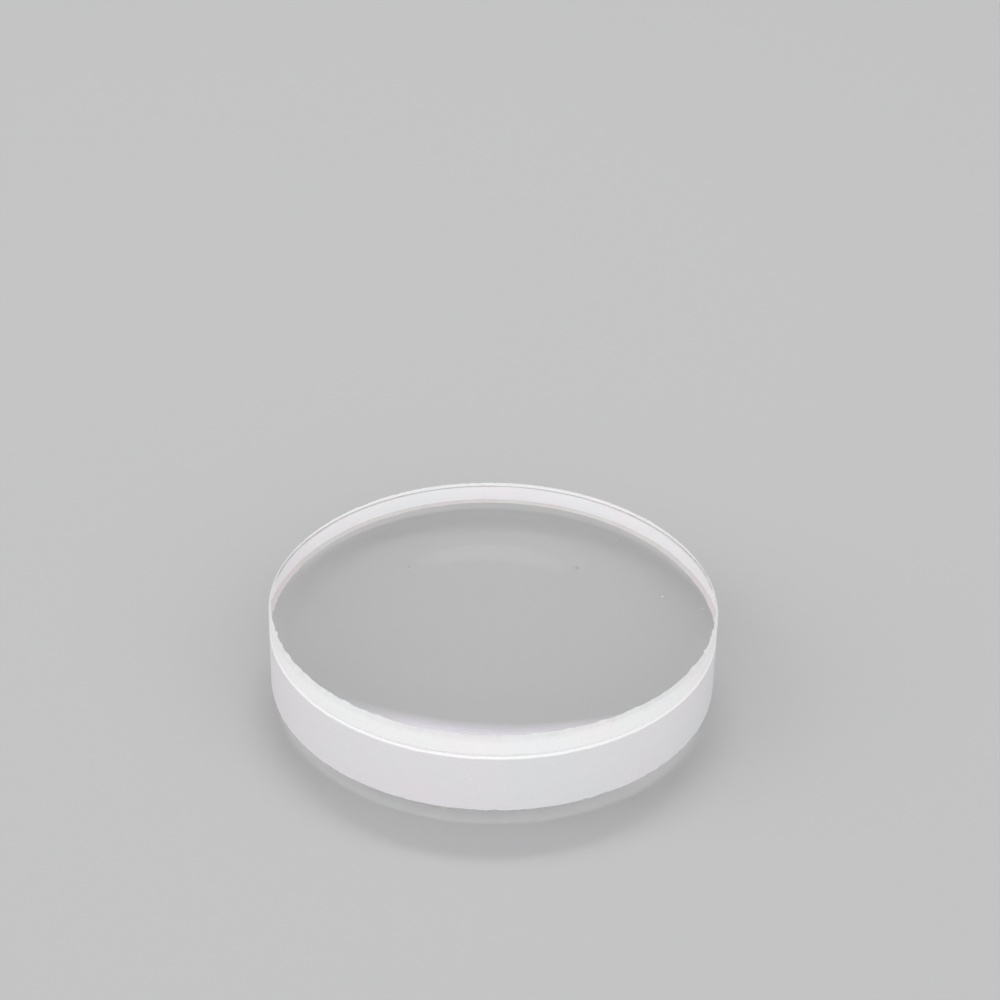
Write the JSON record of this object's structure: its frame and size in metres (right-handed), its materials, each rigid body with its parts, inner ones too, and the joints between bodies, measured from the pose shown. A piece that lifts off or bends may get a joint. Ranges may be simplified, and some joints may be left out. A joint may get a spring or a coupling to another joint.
{
  "type": "achromatic doublet lens",
  "caption": "Round cemented achromatic lens: a biconvex crown element on a flint meniscus, with polished faces and a fine-ground rim.",
  "frame": {"origin": "the lowest point of the glass, which is the vertex of the flint's back face that the lens lies on", "axes": "+Z is the optical axis, from the flint's back face towards the crown's front face; X and Y are alike, because the lens is round"},
  "size_m": [0.0254, 0.0254, 0.0071],
  "materials": {
    "crown_glass": "polished and coated faces, fine-ground white rim",
    "flint_glass": "polished and coated faces, fine-ground white rim",
    "optical_cement": "clear cured resin"
  },
  "bodies": {
    "root": {"crown_element": "crown_glass", "flint_element": "flint_glass", "cement_layer": "optical_cement"}
  },
  "joints": []
}
